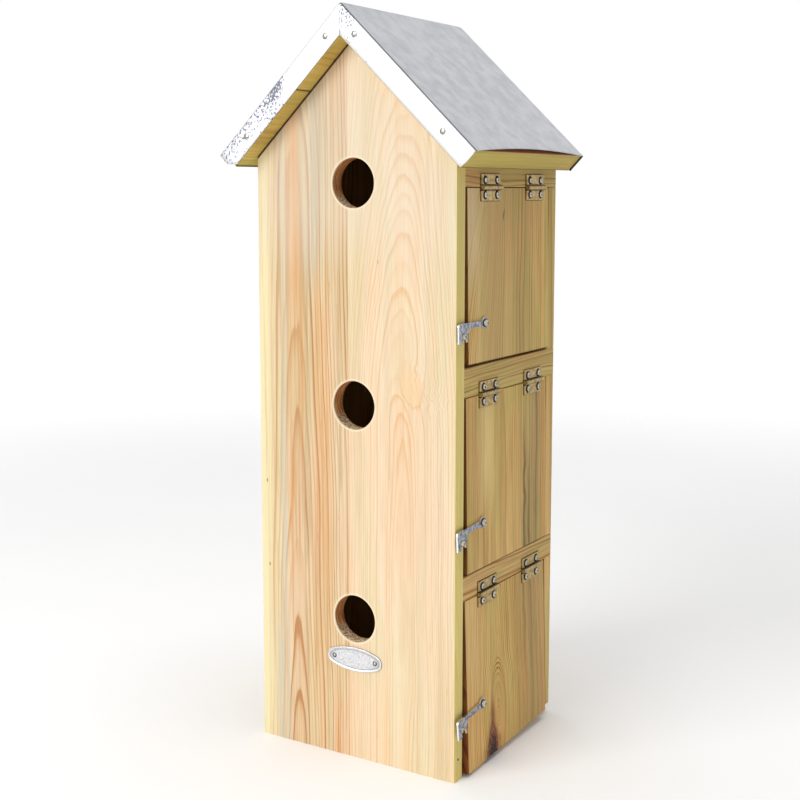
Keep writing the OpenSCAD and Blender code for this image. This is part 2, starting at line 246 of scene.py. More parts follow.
def grain_group():
    """Growth rings about a leaning pith, cut by the board's faces, with fibres."""
    tree = bpy.data.node_groups.new("pine_grain", "ShaderNodeTree")
    for name, kind in (("Place", "Vector"), ("Pith", "Vector"), ("Lean", "Float"), ("Knee", "Float"),
                       ("Lean above", "Float"), ("Spacing", "Float"), ("Wander", "Float"), ("Push", "Float"),
                       ("Swirl", "Float"), ("Seed", "Float")):
        tree.interface.new_socket(name=name, in_out="INPUT", socket_type="NodeSocket" + kind)
    for name in ("Late", "Fibre", "Streaks", "Hue", "Tone", "Dash"):
        tree.interface.new_socket(name=name, in_out="OUTPUT", socket_type="NodeSocketFloat")
    net = Net(tree)
    get = net.named(net.add("NodeGroupInput"))
    seed = get["Seed"]
    seeded = get["Place"].scaled(1, 1, 1, net.join(seed * 137.0, seed * 71.0, seed * 311.0))

    def sway(reach_across, reach_along, amount, offset):
        noise_at = (1 / reach_across, 1 / reach_across, 1 / reach_along)
        off_middle = seeded.noise(*noise_at, 1.0, shift=net.join(offset, 0.0, 0.0)) - 0.5
        return off_middle * amount * get["Wander"]

    place = net.split(get["Place"])
    pith = net.split(get["Pith"])
    across = place[0] - pith[0]
    above = (place[2] - get["Knee"]).at_least(0.0)
    deep = place[1] + pith[1] + place[2] * get["Lean"] + above * get["Lean above"]
    for reach, along, amount, offset in ((55, 230, 16, 0.0), (14, 90, 3.2, 31.0), (4, 30, 0.7, 67.0)):
        across = across + sway(reach, along, amount, offset)
        deep = deep + sway(reach, along, amount, offset + 13.0)
    curl = seeded.noise(0.13, 0.13, 0.11, 1.5) - 0.5
    ring = (net.length(across, deep) + get["Push"] + curl * get["Swirl"]) / get["Spacing"]
    ring = ring + (ring * 0.21 + seed).line_noise() * 2.4
    phase = net.math("FRACT", ring)
    late = phase.step(0.36, 0.86) - phase.step(0.89, 1.0)
    year = (ring * 0.37 + seed * 5.3).line_noise()
    net.fill(net.add("NodeGroupOutput").inputs, {
        "Late": late * year.step(0.32, 0.62, 0.28, 1.0),
        "Fibre": seeded.noise(1.9, 1.9, 0.035, 2.5, 0.6),
        "Streaks": seeded.noise(0.45, 0.45, 0.006, 3.0, 0.62),
        "Hue": seeded.noise(0.17, 0.17, 0.0028, 5.0, 0.68),
        "Tone": seeded.noise(1 / 19, 1 / 19, 1 / 240, 2.0, 0.55),
        "Dash": seeded.noise(1.0, 1.0, 0.07, 1.0).step(0.7, 0.8)})
    return tree


GRAIN = grain_group()

KNOT_BROWN = srgb(132, 72, 38)
KNOT_ROSE = srgb(158, 100, 68)
KNOT_BLACK = srgb(34, 20, 15)
FIGURE_ORANGE = srgb(243, 205, 156)
FIGURE_LINE = srgb(226, 178, 128)
DRIFT_GREEN = srgb(243, 248, 234)
DRIFT_ROSE = srgb(255, 247, 243)
HUE_GREY = srgb(220, 220, 208)
HUE_ORANGE = srgb(255, 228, 198)

# How far a streak's end fades out, in millimetres each way
STREAK_FADE = 30


@dataclass
class Stave:
    """One piece of timber in a board, in millimetres. The pith is at pith across the board and deep
    behind its face, and leans away by lean, and by lean_above more over the knee. fan is (edge,
    reach, foot, bend): short of edge, the grain bends aside more and more above foot. Each stave
    after the first starts at from_across."""
    early: tuple
    late: tuple
    pith: float
    deep: float
    lean: float
    spacing: float
    wander: float
    seed: float
    knee: float = 0.0
    lean_above: float = 0.0
    contrast: float = 0.8
    streaky: float = 0.25
    hues: float = 0.25
    crisp: float = 0.3
    from_across: float = None
    fan: tuple = None


@dataclass
class Streak:
    """A band of another tone along the grain, from low to high. curl is how far its lines waver, in
    millimetres."""
    at: float
    width: float
    colour: tuple
    strength: float
    low: float = None
    high: float = None
    ragged: float = 1.0
    curl: float = 0.0


@dataclass
class Mark:
    """A small fleck, tick or stain. lean is how far it slants across per length along."""
    across: float
    along: float
    wide: float
    tall: float
    lean: float = 0.0
    strength: float = 0.8
    colour: tuple = KNOT_BLACK


@dataclass
class Knot:
    """A knot: its heart, the brown stain round it and the grain pushed aside by it. look is brown,
    pale for the figure that a knot below the surface makes, or bare for curled grain alone.
    point is the share of its width that it loses towards its top."""
    across: float
    along: float
    wide: float
    tall: float
    push: float
    swirl: float = 0.0
    look: str = "brown"
    point: float = 0.0


def pine(name, axes, face, staves, streaks=(), knots=(), marks=(), tint=None, drift=1.0):
    """A pine board's material. axes says which way is across the grain, into the board and along it;
    face is where its face is on the second of these."""
    made, net, shader = material(name)
    place, world = place_mm(net, axes)
    across, deep, along = net.split(place)
    bent = across + (place.noise(0.02, 0.02, 0.006) - 0.5) * 9.0

    push, swirl = 0.0, 0.0
    for knot in knots:
        swell = across.bell(knot.across, knot.wide * 1.7) * along.bell(knot.along, knot.tall * 1.5)
        push = push + swell * knot.push
        swirl = swirl + swell * knot.swirl

    colour, height = None, None
    for stave in staves:
        group = net.add("ShaderNodeGroup", node_tree=GRAIN)
        fanned = place
        if stave.fan:
            edge, reach, foot, bend = stave.fan
            rise = (along - foot).at_least(0.0)
            aside = rise * rise * across.step(edge - reach, edge, bend, 0.0)
            fanned = net.join(across - aside, deep, along)
        net.fill(group.inputs, {
            "Place": fanned, "Pith": (stave.pith, stave.deep - face, 0), "Lean": stave.lean, "Knee": stave.knee,
            "Lean above": stave.lean_above, "Spacing": stave.spacing, "Wander": stave.wander, "Push": push,
            "Swirl": swirl, "Seed": stave.seed})
        out = net.named(group)
        fibre = out["Fibre"].step(0.25, 0.75, 0.93, 1.05)
        surface = net.mix(out["Late"] * stave.contrast, stave.early, stave.late)
        for factor, over, blend in (
                (out["Late"].step(0.55, 0.95, 0.0, stave.crisp), stave.late, "MULTIPLY"),
                (out["Tone"].step(0.35, 0.7, 0.0, 0.32), stave.late, "MIX"),
                (out["Streaks"].step(0.5, 0.66) * stave.streaky, stave.late, "MIX"),
                (out["Hue"].step(0.53, 0.62, 0.0, stave.hues), HUE_ORANGE, "MULTIPLY"),
                (out["Hue"].step(0.38, 0.47, stave.hues, 0.0), HUE_GREY, "MULTIPLY"),
                (1.0, net.join(fibre, fibre, fibre), "MULTIPLY"),
                (out["Dash"] * 0.35, stave.late, "MULTIPLY")):
            surface = net.mix(factor, surface, over, blend)
        rise = out["Late"] * 0.6 + out["Fibre"]
        if colour is None:
            colour, height = surface, rise
        else:
            inside = across.step(stave.from_across - 0.35, stave.from_across + 0.35)
            colour = net.mix(inside, colour, surface)
            height = (1.0 - inside) * height + inside * rise
            seam = across.bell(stave.from_across, 0.4)
            colour = net.mix(seam * 0.35, colour, stave.late, "MULTIPLY")

    patches = place.noise(1 / 30, 1 / 30, 1 / 150, shift=(staves[0].seed * 9.0, 0.0, 0.0))
    colour = net.mix(patches.step(0.42, 0.62, 0.0, drift), colour, DRIFT_GREEN, "MULTIPLY")
    colour = net.mix(patches.step(0.36, 0.5, drift, 0.0), colour, DRIFT_ROSE, "MULTIPLY")

    for streak in streaks:
        line, lines = bent, place
        if streak.curl:
            waver = (place.noise(0.05, 0.05, 0.045) - 0.5) * streak.curl
            line, lines = bent + waver, net.join(across + waver, deep, along)
        bundle = lines.noise(0.34, 0.34, 0.005, 4.0, 0.66, shift=(streak.at, 0.0, 0.0))
        ragged = bundle.step(0.4, 0.58, 1 - streak.ragged, 1.0)
        band = line.bell(streak.at, streak.width) * ragged * streak.strength
        if streak.low is not None:
            band = band * along.step(streak.low - STREAK_FADE, streak.low + STREAK_FADE)
        if streak.high is not None:
            band = band * along.step(streak.high - STREAK_FADE, streak.high + STREAK_FADE, 1.0, 0.0)
        colour = net.mix(band, colour, streak.colour)

    for knot in [k for k in knots if k.look != "bare"]:
        x = (across - knot.across) / knot.wide
        z = (along - knot.along) / knot.tall
        if knot.point:
            x = x / z.step(-0.1, 1.0, 1.0, 1.0 - knot.point)
        away = net.length(x, z) + (place.noise(0.22, 0.22, 0.11) - 0.5) * 0.9
        if knot.look == "pale":
            corner = (x * z).at_least(-1.0).at_most(1.0)
            lopsided = away + corner * 0.35
            colour = net.mix(lopsided.step(0.8, 1.15, 0.5, 0.0), colour, FIGURE_ORANGE)
            rim = lopsided.bell(1.08, 0.1) * z.step(-0.4, 0.6, 0.5, 0.1)
            colour = net.mix(rim, colour, FIGURE_LINE)
            continue
        colour = net.mix(away.step(0.85, 1.9, 0.55, 0.0), colour, KNOT_BROWN)
        heart = net.mix((away * 7.0).line_noise().step(0.38, 0.62), KNOT_BROWN, KNOT_ROSE)
        charred = away.step(1.1, 0.2) + z.step(0.9, -0.6, -0.5, 0.5)
        cracks = place.noise(0.9, 0.9, 0.35, 3.0, 0.7) + charred * 0.16
        heart = net.mix(cracks.step(0.53, 0.63), heart, KNOT_BLACK)
        colour = net.mix(away.step(0.9, 1.12, 1.0, 0.0), colour, heart)

    for mark in marks:
        z = along - mark.along
        x = across - mark.across - z * mark.lean
        spot = x.bell(0.0, mark.wide) * z.bell(0.0, mark.tall)
        colour = net.mix(spot * mark.strength, colour, mark.colour)

    if tint:
        colour = tint(net, colour, world)
    net.feed(shader.inputs["Base Color"], colour)
    grit = place.noise(2.4, 2.4, 0.5, 3.0, 0.6)
    net.feed(shader.inputs["Roughness"], grit.step(0.2, 0.8, 0.54, 0.74))
    shader.inputs["Specular IOR Level"].default_value = 0.35
    net.feed(shader.inputs["Normal"], net.bump(height + grit * 0.5, 0.12 * MM, 0.55))
    return made


# Painted shade tint for the front board's side edges
EDGE_SHADE_OLIVE = srgb(250, 242, 168)
EDGE_SHADE_PALE = srgb(255, 240, 158)
HOLE_LIGHT = srgb(246, 188, 124)
HOLE_DARK = srgb(166, 88, 38)
# Painted highlight round the entrance holes' rims
HOLE_RIM_HIGHLIGHT = srgb(255, 240, 208)
# Torn tufts, paler as painted light
TUFT_PALE_LIT = srgb(255, 238, 200)
TUFT_DARK = srgb(164, 116, 74)
# Dark joints and lines, and painted shade along the eaves' arris
SEAM_AND_SHADE_BROWN = srgb(70, 48, 26)
# Painted shade on the doors' front edges
FRONT_EDGE_SHADE = srgb(146, 108, 70)
# Reddish brown under the zinc, partly painted shade
GAP_BROWN_AND_SHADE = srgb(158, 94, 52)


def front_wear_and_light(net, colour, world):
    """Yellower, paler side edges, a painted shade tint that is stronger on the +X edge; brown, torn grain on
    the walls of the entrance holes, with pale tufts low down, partly painted light; painted highlights
    round the holes' rims; and a dark line in the corner under the roof boards."""
    x, y, z = world
    # Painted shade tint: the side edges yellower and paler, more so on the +X edge
    edge = abs(x).step(HALF_W / MM - 0.55, HALF_W / MM - 0.15) * x.step(-1.0, 1.0, 0.45, 1.0)
    colour = net.mix(edge * 0.4, net.mix(edge, colour, EDGE_SHADE_OLIVE, "MULTIPLY"), EDGE_SHADE_PALE)
    tufts = net.join(*world).noise(0.8, 0.8, 0.8, 3.0, 0.7)
    torn = net.join(*world).noise(0.07, 0.9, 0.07, 4.0, 0.7)
    rim = y.step(FRONT_Y / MM + 0.75, FRONT_Y / MM + 1.5, 1.0, 0.0)
    for hole_z in HOLE_Z:
        up = z - hole_z / MM
        away = net.length(x, up)
        wall = net.mix(torn.step(0.36, 0.66), HOLE_DARK, HOLE_LIGHT)
        # Pale tufts on the lower wall: torn grain, painted paler as painted light
        tuft = net.mix(tufts.step(0.42, 0.58), TUFT_DARK, TUFT_PALE_LIT)
        wall = net.mix(up.step(-4.0, -12.0), wall, tuft)
        # Painted highlight: a cream rim round each hole, on the face and at the front of the wall
        colour = net.mix(away.bell(HOLE_R / MM + 0.7, 0.6) * 0.6, colour, HOLE_RIM_HIGHLIGHT)
        colour = net.mix(away < HOLE_R / MM + 0.12, colour, net.mix(rim, wall, HOLE_RIM_HIGHLIGHT))
    under = (GABLE_Z / MM - z) * COS - abs(x) * SIN
    return net.mix(under.step(1.0, 1.9, 1.0, 0.0), colour, SEAM_AND_SHADE_BROWN)


def slope_place(x, z):
    """(s, depth) of a place in a roof slope, in millimetres, as slope_point has them."""
    out, down = abs(x), ROOF_HIGH.z / MM - z
    return out * COS + down * SIN, down * COS - out * SIN


def roof_seams_and_shade(net, colour, world):
    """Dark lines where two roof boards meet; painted shade along the eaves' lower arris; and reddish brown
    on the wood just under the zinc, partly its own colour, partly painted shade in the gap under the bowed sheet."""
    x, _, z = world
    s, depth = slope_place(x, z)
    colour = net.mix(s.bell(PLANK_JOINT / MM, 0.7) * 0.9, colour, SEAM_AND_SHADE_BROWN)
    # Reddish brown just under the zinc, partly painted shade in the gap under the sheet
    colour = net.mix(depth.step(1.5, 1.0), colour, GAP_BROWN_AND_SHADE)
    s = s + x.step(1.0, -1.0, 0.0, EAVE_SET_BACK / MM)
    # Painted shade along the eaves' lower arris
    arris = s.step(SLOPE_LEN / MM - 3.4, SLOPE_LEN / MM - 2.8) * depth.step(14.6, 15.2)
    return net.mix(arris * 0.9, colour, SEAM_AND_SHADE_BROWN)


def door_edge_shade_and_line(storey):
    """Painted shade on a door's front edge, in the gap beside the front board, and a dark line along its lower
    arris.
    """
    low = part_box(storey + "_door")[0] / MM

    def tint(net, colour, world):
        _, y, z = world
        # Painted shade on the door's front edge
        colour = net.mix(y.step(low.y + 0.35, low.y + 0.75, 1.0, 0.0), colour, FRONT_EDGE_SHADE, "MULTIPLY")
        return net.mix(z.step(low.z + 0.3, low.z + 0.9, 0.75, 0.0), colour, SEAM_AND_SHADE_BROWN)
    return tint


PEACH = srgb(244, 225, 194)
PEACH_LATE = srgb(234, 194, 146)
TAN = srgb(236, 214, 177)
TAN_LATE = srgb(204, 150, 98)
OLIVE = srgb(240, 208, 132)
OLIVE_LATE = srgb(186, 138, 74)
GOLD = srgb(242, 208, 132)
GOLD_LATE = srgb(188, 122, 54)
ROOF_OLIVE = srgb(214, 192, 104)
ROOF_LATE = srgb(170, 140, 66)
PLAIN = srgb(226, 198, 146)
PLAIN_LATE = srgb(192, 146, 92)
RAIL = srgb(232, 201, 132)
SAP_YELLOW = srgb(246, 232, 184)
STAIN_GREY = srgb(208, 202, 180)
STAIN_DARK = srgb(158, 140, 120)
RUST_ORANGE = srgb(226, 166, 108)
DULL_BROWN = srgb(160, 134, 96)
STREAK_DARK = srgb(112, 86, 56)
ROSE_BROWN = srgb(214, 172, 122)
PALE_OLIVE = srgb(244, 220, 150)
PALE_ROSE = srgb(250, 220, 176)
BLEACHED = srgb(240, 226, 204)

SIDE_FACE = HALF_W / MM
# Near the roof boards' height, so that one grain serves both slopes
ROOF_FACE = 420.0

front_pine = pine(
    "front_pine", "XYZ", FRONT_Y / MM, tint=front_wear_and_light, drift=0.6,
    staves=[
        Stave(TAN, TAN_LATE, pith=-50, deep=9, lean=0.035, spacing=2.3, wander=0.6, seed=1.0, contrast=0.75,
              streaky=0.6, hues=0.6, crisp=0.55),
        Stave(PEACH, PEACH_LATE, pith=38, deep=9, lean=0.022, knee=262, lean_above=0.095, spacing=1.85,
              wander=0.8, seed=2.3, contrast=0.65, streaky=0.25, hues=0.2, crisp=0.15, from_across=-4.6)],
    streaks=[
        Streak(-77, 11, SAP_YELLOW, 0.9, ragged=0.35),
        Streak(-59, 2.2, STAIN_GREY, 0.95, ragged=0.7),
        Streak(-66, 3.5, STAIN_GREY, 0.9, high=85, ragged=0.6, curl=3),
        Streak(-53, 1.6, RUST_ORANGE, 0.65),
        Streak(-49, 3.0, RUST_ORANGE, 0.9, low=322, ragged=0.3, curl=3),
        Streak(-46, 4.0, RUST_ORANGE, 0.6, low=230),
        Streak(-34, 9, STAIN_GREY, 0.6, low=340),
        Streak(-31, 8, STAIN_DARK, 0.4, low=350, curl=2),
        Streak(-24, 9, RUST_ORANGE, 0.35, high=330),
        Streak(25, 3, FIGURE_ORANGE, 0.65, high=62, ragged=0.4, curl=4),
        Streak(41, 4, FIGURE_ORANGE, 0.6, high=55, ragged=0.4, curl=4),
        Streak(0, 130, BLEACHED, 0.42, low=362, ragged=0.25)],
    knots=[Knot(46, 270, 7.5, 13, push=5.0, swirl=3.0, look="pale"),
           Knot(61, 261, 7, 9, push=1.0, swirl=9.0, look="bare")],
    marks=[Mark(-75.5, 192, 0.6, 1.2), Mark(-74, 130, 0.6, 1.0), Mark(20, 352, 0.4, 1.5, strength=0.4)])
rail_pine = pine(
    "side_pine", "ZXY", SIDE_FACE, drift=2.0,
    staves=[Stave(RAIL, OLIVE_LATE, pith=20, deep=40, lean=0.05, spacing=3.2, wander=1.5, seed=3.7,
                  contrast=1.0, streaky=0.4)])
strip_pine = pine(
    "strip_pine", "YXZ", SIDE_FACE, drift=2.0,
    staves=[Stave(RAIL, OLIVE_LATE, pith=40, deep=60, lean=0.02, spacing=2.6, wander=0.7, seed=8.1)])
plain_pine = pine(
    "plain_pine", "XYZ", BACK_Y / MM, drift=1.6, knots=[Knot(-38, 318, 5.5, 9, push=6.0)],
    staves=[Stave(PLAIN, PLAIN_LATE, pith=-26, deep=18, lean=0.05, spacing=3.4, wander=1.0, seed=4.4),
            Stave(PLAIN, PLAIN_LATE, pith=44, deep=30, lean=-0.03, spacing=3.0, wander=1.0, seed=5.1,
                  from_across=12)])
wall_pine = pine(
    "wall_pine", "YXZ", -SIDE_FACE, drift=1.6, knots=[Knot(44, 132, 4.5, 8, push=5.0)],
    staves=[Stave(PLAIN, PLAIN_LATE, pith=-22, deep=18, lean=0.05, spacing=3.2, wander=1.1, seed=9.2),
            Stave(PLAIN, PLAIN_LATE, pith=52, deep=40, lean=0.02, spacing=2.8, wander=0.9, seed=9.9,
                  from_across=18)])
floor_pine = pine(
    "floor_pine", "YZX", 0.0,
    staves=[Stave(PLAIN, PLAIN_LATE, pith=10, deep=45, lean=0.05, spacing=3.6, wander=1.1, seed=5.6)])
roof_pine = pine(
    "roof_pine", "XZY", ROOF_FACE, tint=roof_seams_and_shade,
    staves=[Stave(ROOF_OLIVE, ROOF_LATE, pith=0, deep=0, lean=0.03, spacing=2.6, wander=0.6, seed=6.5,
                  contrast=0.4, crisp=0.1)])

DOOR_LOOKS = {
    "upper": dict(
        staves=[Stave(OLIVE, OLIVE_LATE, pith=95, deep=10, lean=0.03, spacing=3.6, wander=1.3, seed=11.6,
                      contrast=0.7, streaky=0.45, hues=0.45, fan=(8, 50, 265, 0.0022))],
        streaks=[Streak(-16, 26, ROSE_BROWN, 0.55, ragged=0.35),
                 Streak(26, 14, DULL_BROWN, 0.3, ragged=0.4),
                 Streak(-52, 18, PALE_ROSE, 0.75, low=345, ragged=0.3),
                 Streak(-40, 6, PALE_OLIVE, 0.4)],
        marks=[Mark(-2, 383, 0.7, 3.4, lean=0.25, strength=0.9)]),
    "middle": dict(
        staves=[Stave(OLIVE, OLIVE_LATE, pith=-12, deep=4, lean=0.05, spacing=3.2, wander=1.2, seed=12.9,
                      contrast=0.6, streaky=0.35, hues=0.6)],
        streaks=[Streak(46, 15, DULL_BROWN, 0.45, ragged=0.4),
                 Streak(-24, 9, PALE_OLIVE, 0.85, low=190, ragged=0.4),
                 Streak(-2, 5, RUST_ORANGE, 0.45),
                 Streak(-42, 4, RUST_ORANGE, 0.45),
                 Streak(34, 2.2, STREAK_DARK, 0.9, high=225, ragged=0.35, curl=7),
                 Streak(41, 2.4, STREAK_DARK, 0.75, high=205, ragged=0.8, curl=6),
                 Streak(52, 2.4, STREAK_DARK, 0.6, ragged=0.8, curl=6)]),
    "lowest": dict(
        staves=[Stave(GOLD, GOLD_LATE, pith=-7.5, deep=-14, lean=0.36, knee=72, lean_above=-0.29, spacing=1.6,
                      wander=0.5, seed=13.1, contrast=1.0, streaky=0.3, hues=0.35, crisp=0.5)],
        streaks=[Streak(52, 20, DULL_BROWN, 0.5, ragged=0.35),
                 Streak(30, 9, DULL_BROWN, 0.35, low=75),
                 Streak(36, 1.6, STREAK_DARK, 0.5, low=60, ragged=0.7, curl=6),
                 Streak(47, 1.8, STREAK_DARK, 0.45, low=30, ragged=0.7, curl=6),
                 Streak(-48, 22, PALE_OLIVE, 0.45, low=60, ragged=0.4)],
        knots=[Knot(-17, 9, 8.5, 19, push=3.0, point=0.5)],
        marks=[Mark(-16.5, 33, 2.8, 11, strength=0.75, colour=KNOT_BROWN)]),
}
DOOR_PINE = {storey: pine("door_pine_" + storey, "YXZ", SIDE_FACE, tint=door_edge_shade_and_line(storey), drift=2.5, **looks)
             for storey, looks in DOOR_LOOKS.items()}


# ---- Metals and floor ----

ZINC_LIGHT = srgb(207, 208, 211)
ZINC_DARK = srgb(190, 192, 197)
# Painted light on the front-facing fold
ZINC_FOLD_LIT = srgb(214, 215, 219)
FLECK_BLUE = srgb(74, 79, 92)
# The mitre seam, and painted shade along the front bend
SEAM_AND_BEND_SHADE = srgb(70, 74, 82)
# Painted shade on the rear fold's cut edge
CUT_EDGE_SHADE = srgb(48, 48, 50)
BRASS = srgb(196, 172, 122)
BRASS_DARK = srgb(150, 128, 86)
# Painted shade beside the hinge knuckles
KNUCKLE_SHADE = srgb(58, 46, 30)
STEEL = srgb(176, 180, 190)
STEEL_DARK = srgb(84, 88, 100)
# Painted highlight on the hooks' rims
RIM_HIGHLIGHT = srgb(244, 245, 248)
SCREW = srgb(206, 205, 198)
SCREW_DARK = srgb(138, 136, 124)
# Dark metal: painted shade under and in screw and nail heads and round hinge leaves, and a brad's dark head
SHADE_AND_BRAD = srgb(66, 54, 38)
SHADE_AND_BRAD_DARK = srgb(38, 32, 26)
PLATE = srgb(244, 244, 245)
PLATE_DARK = srgb(206, 208, 214)
PLATE_LINE = srgb(120, 124, 134)
# Painted shade on the plate's edge
PLATE_EDGE_SHADE = srgb(72, 70, 68)
PAPER = srgb(250, 250, 250)
PAPER_DARK = srgb(248, 248, 248)


def metal(name, light, dark, rough_low, rough_high, grain_mm, fleck=0.0, scratch=0.03, waves=0.0, tint=None):
    """A metal with cloudy tone, fine flecks and uneven gloss. grain_mm is the size of the clouds;
    scratch and waves are the depth in millimetres of its fine and its broad unevenness."""
    made, net, shader = material(name)
    place, world = place_mm(net, "XYZ")
    cloud = place.noise(1 / grain_mm, 1 / grain_mm, 1 / grain_mm, 4.0, 0.6)
    fine = place.noise(3.0, 3.0, 3.0, 3.0, 0.6)
    colour = net.mix(cloud.step(0.3, 0.72), light, dark)
    colour = net.mix(fine.step(0.55, 0.75) * fleck, colour, dark, "MULTIPLY")
    if tint:
        colour = tint(net, colour, world)
    net.feed(shader.inputs["Base Color"], colour)
    shader.inputs["Metallic"].default_value = 1.0
    net.feed(shader.inputs["Roughness"], (cloud * 0.6 + fine * 0.4).step(0.3, 0.7, rough_low, rough_high))
    net.feed(shader.inputs["Normal"], net.bump(fine * scratch + cloud * waves, MM, 0.5))
    return made


def zinc_wear_and_shade(net, colour, world):
    """Broad mottling; the front fold painted lighter as painted light; painted shade along the front bend
    and on the rear fold's cut edge; a dark mitre seam; and flecks of corrosion on the left half of the
    front fold and beside the peak."""
    x, y, z = world
    place = net.join(*world)
    s, depth = slope_place(x, z)
    smudge = place.noise(1 / 34, 1 / 22, 1 / 34, 3.0, 0.6)
    colour = net.mix(smudge.step(0.52, 0.72, 0.0, 0.5), colour, ZINC_DARK)

    # Painted light: the front-facing fold lighter than the top
    front = y.step(ROOF_LOW.y / MM + 1.2, ROOF_LOW.y / MM + 1.8, 1.0, 0.0)
    colour = net.mix(front * 0.85, colour, ZINC_FOLD_LIT)
    patch = x.bell(-53, 8) * 0.13
    spread = x.step(-41, -49) * 0.15
    peak = x.step(26, 5) * x.step(-1.5, 1.0) * 0.19
    dense = (patch + spread + peak) * depth.step(13, 2, 0.45, 1.0)
    fleck = (place.noise(0.75, 0.75, 0.55, 3.0, 0.65) + dense).step(0.66, 0.72)
    colour = net.mix(front * fleck * 0.85, colour, FLECK_BLUE)
    tip = x.step(-90, -102) * smudge.step(0.35, 0.6)
    colour = net.mix(front * tip * 0.65, colour, FLECK_BLUE)

    # Painted shade along the front bend, stronger on the right
    bend = y.bell(SHEET_FRONT / MM + 1.2, 0.75) * depth.step(2.0, 1.0)
    colour = net.mix(bend * x.step(-1.0, 1.0, 0.45, 1.0), colour, SEAM_AND_BEND_SHADE)
    mitre = front * x.bell(0.4, 0.35)
    colour = net.mix(mitre * 0.5, colour, SEAM_AND_BEND_SHADE)
    # Painted shade on the rear fold's cut edge
    rear_edge_shade = s.step(SLOPE_LEN / MM - 2.6, SLOPE_LEN / MM - 1.8) * y.step(79.5, 80.5)
    return net.mix(rear_edge_shade * 0.9, colour, CUT_EDGE_SHADE)


def hinge_knuckle_shade(net, colour, world):
    """Painted shade: dark bands beside the knuckles, just above and below each hinge line."""
    for storey in STOREYS:
        off = abs(world[2] - HINGE_AT[storey].z / MM)
        colour = net.mix(off.bell(1.75, 0.5) * 0.85, colour, KNUCKLE_SHADE)
    return colour


def rim_highlights(net, colour, world):
    """Painted highlight: near white along the rounded rims; the metal's own tone on the flat faces."""
    facing = abs(net.split(net.coord("Normal"))[0])
    return net.mix(facing.step(0.985, 0.8), colour, RIM_HIGHLIGHT)


def plate_line_and_shade(net, colour, world):
    """A grey line inside the plate's rim, and painted shade: a dark foot on the plate's edge against the board."""
    x, y, z = world
    low, high = (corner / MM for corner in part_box("oval_plate"))
    half_w, half_h, middle = (high.x - low.x) / 2, (high.z - low.z) / 2, (low.z + high.z) / 2
    away = net.length(x / (half_w - 2.1), (z - middle) / (half_h - 2.1))
    colour = net.mix(away.bell(1.0, 0.045) * 0.55, colour, PLATE_LINE)
    # Painted shade on the plate's edge, against the board
    return net.mix(y.step(high.y - 0.6, high.y - 0.4), colour, PLATE_EDGE_SHADE)


zinc = metal("zinc", ZINC_LIGHT, ZINC_DARK, 0.36, 0.52, 11, fleck=0.5, tint=zinc_wear_and_shade)
hinge_metal = metal("hinge_metal", BRASS, BRASS_DARK, 0.38, 0.58, 3, fleck=0.6, tint=hinge_knuckle_shade)
hook_zinc = metal("bright_zinc", STEEL, STEEL_DARK, 0.16, 0.30, 2.6, fleck=0.25, waves=0.2, tint=rim_highlights)
screw_zinc = metal("screw_zinc", SCREW, SCREW_DARK, 0.10, 0.24, 1.0, fleck=0.3)
# Mostly painted shade; also the brad's dark head
shade_and_brad_metal = metal("shade_and_brad_metal", SHADE_AND_BRAD, SHADE_AND_BRAD_DARK, 0.55, 0.75, 3, fleck=0.5)
plate_metal = metal("plate_metal", PLATE, PLATE_DARK, 0.32, 0.5, 1.5, fleck=0.45, scratch=0.15, tint=plate_line_and_shade)

# The floor's radius, and where its fading starts
FLOOR_R = 1.9
FLOOR_FADE = 0.55
FLOOR_GLOW = 0.05


def floor_material():
    """White paper, which runs out softly into the white surroundings."""
    made, net, shader = material("studio_floor")
    place, world = place_mm(net, "XYZ")
    cloud = place.noise(1 / 400, 1 / 400, 1 / 400)
    net.feed(shader.inputs["Base Color"], net.mix(cloud.step(0.3, 0.7), PAPER, PAPER_DARK))
    shader.inputs["Roughness"].default_value = 0.9
    shader.inputs["Specular IOR Level"].default_value = 0.0
    shader.inputs["Emission Color"].default_value = (1, 1, 1, 1)
    shader.inputs["Emission Strength"].default_value = FLOOR_GLOW
    away = net.length(*world[:2])
    net.feed(shader.inputs["Alpha"], away.step(FLOOR_FADE / MM, FLOOR_R / MM - 10, 1.0, 0.0))
    return made


# ---- Mesh building ----

# An edge under FLAT is dropped, one over ARRIS is rounded, and one over CREASE is shaded sharp
FLAT = math.radians(0.8)
ARRIS = math.radians(24)
CREASE = math.radians(50)


def to_mesh(name, bm):
    """A mesh from a bmesh, which is freed."""
    mesh = bpy.data.meshes.new(name)
    bm.to_mesh(mesh)
    bm.free()
    return mesh


def made_object(name, bm, finish):
    """A new object of one material."""
    piece = bpy.data.objects.new(name, to_mesh(name, bm))
    bpy.context.scene.collection.objects.link(piece)
    piece.data.materials.append(finish)
    return piece


def smooth(piece):
    """Smooth shading that keeps the wide flat faces flat."""
    for polygon in piece.data.polygons:
        polygon.use_smooth = True
    piece.data.set_sharp_from_angle(angle=CREASE)
    weigh = piece.modifiers.new("weighted", "WEIGHTED_NORMAL")
    weigh.keep_sharp, weigh.weight = True, 100


